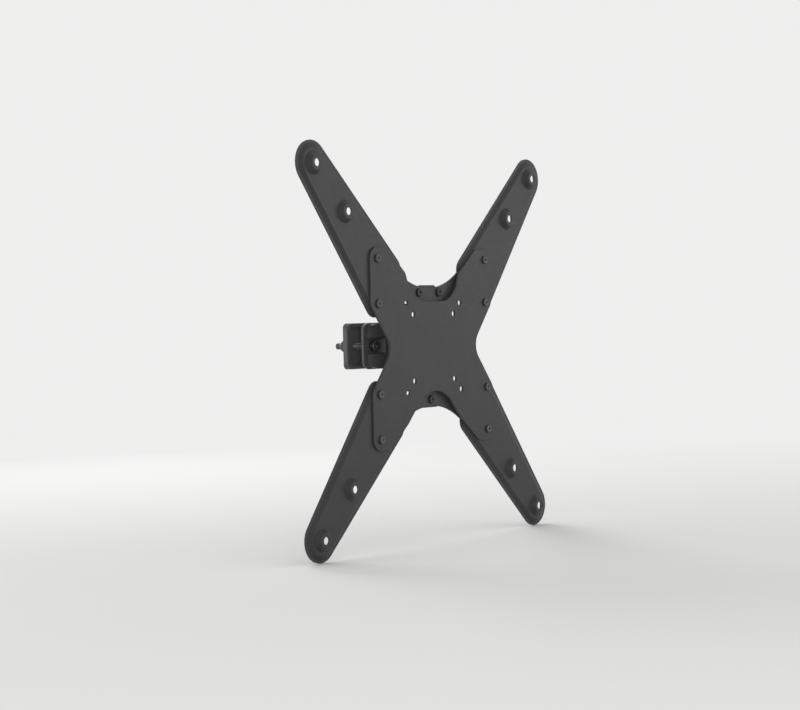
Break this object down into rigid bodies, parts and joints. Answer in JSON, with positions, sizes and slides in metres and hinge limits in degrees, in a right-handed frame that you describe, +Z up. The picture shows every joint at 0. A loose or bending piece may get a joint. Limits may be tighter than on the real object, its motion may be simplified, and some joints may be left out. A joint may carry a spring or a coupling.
{
  "type": "truss tv mount",
  "caption": "X-shaped screen bracket of pressed steel arms on a centre plate, carried by a two-jaw clamp that grips an upright truss tube.",
  "frame": {"origin": "centre of the square screen hole patterns, on the plane of the arm bosses that meet the screen", "axes": "+Z up, +X to the right as seen from the screen side, +Y from the screen towards the truss tube"},
  "size_m": [0.449, 0.1171, 0.449],
  "materials": {
    "plate_coat": "charcoal satin powder coat",
    "arm_coat": "charcoal satin powder coat",
    "bracket_coat": "charcoal satin powder coat",
    "jaw_coat": "black coated casting",
    "grey_screw": "dull zinc",
    "black_screw": "black oxide",
    "zinc_hardware": "dark zinc",
    "grip_rubber": "matt rubber"
  },
  "bodies": {
    "mount_head": {"arm_bottom_left": "arm_coat", "arm_bottom_right": "arm_coat", "arm_nuts_bottom_left": "zinc_hardware", "arm_nuts_bottom_right": "zinc_hardware", "arm_nuts_top_left": "zinc_hardware", "arm_nuts_top_right": "zinc_hardware", "arm_screws_bottom_left": "grey_screw", "arm_screws_bottom_right": "grey_screw", "arm_screws_top_left": "grey_screw", "arm_screws_top_right": "grey_screw", "arm_top_left": "arm_coat", "arm_top_right": "arm_coat", "carrier_nut_bottom": "zinc_hardware", "carrier_nut_top_left": "zinc_hardware", "carrier_nut_top_right": "zinc_hardware", "carrier_plate": "bracket_coat", "carrier_screw_bottom": "black_screw", "carrier_screw_top_left": "black_screw", "carrier_screw_top_right": "black_screw", "centre_plate": "plate_coat", "clamp_bolt_left": "zinc_hardware", "clamp_bolt_right": "zinc_hardware", "clamp_screws": "black_screw", "front_grip_pad": "grip_rubber", "front_jaw": "jaw_coat", "standoff_bracket": "bracket_coat"},
    "sliding_jaw": {"clamp_nut_left": "zinc_hardware", "clamp_nut_right": "zinc_hardware", "clamp_washer_left": "zinc_hardware", "clamp_washer_right": "zinc_hardware", "rear_grip_pad": "grip_rubber", "rear_jaw": "jaw_coat"}
  },
  "joints": [
    {"name": "jaw_slide", "type": "slide", "parent": "mount_head", "child": "sliding_jaw", "axis": [0, 1, 0], "range_m": [-0.02, 0.0065]}
  ]
}
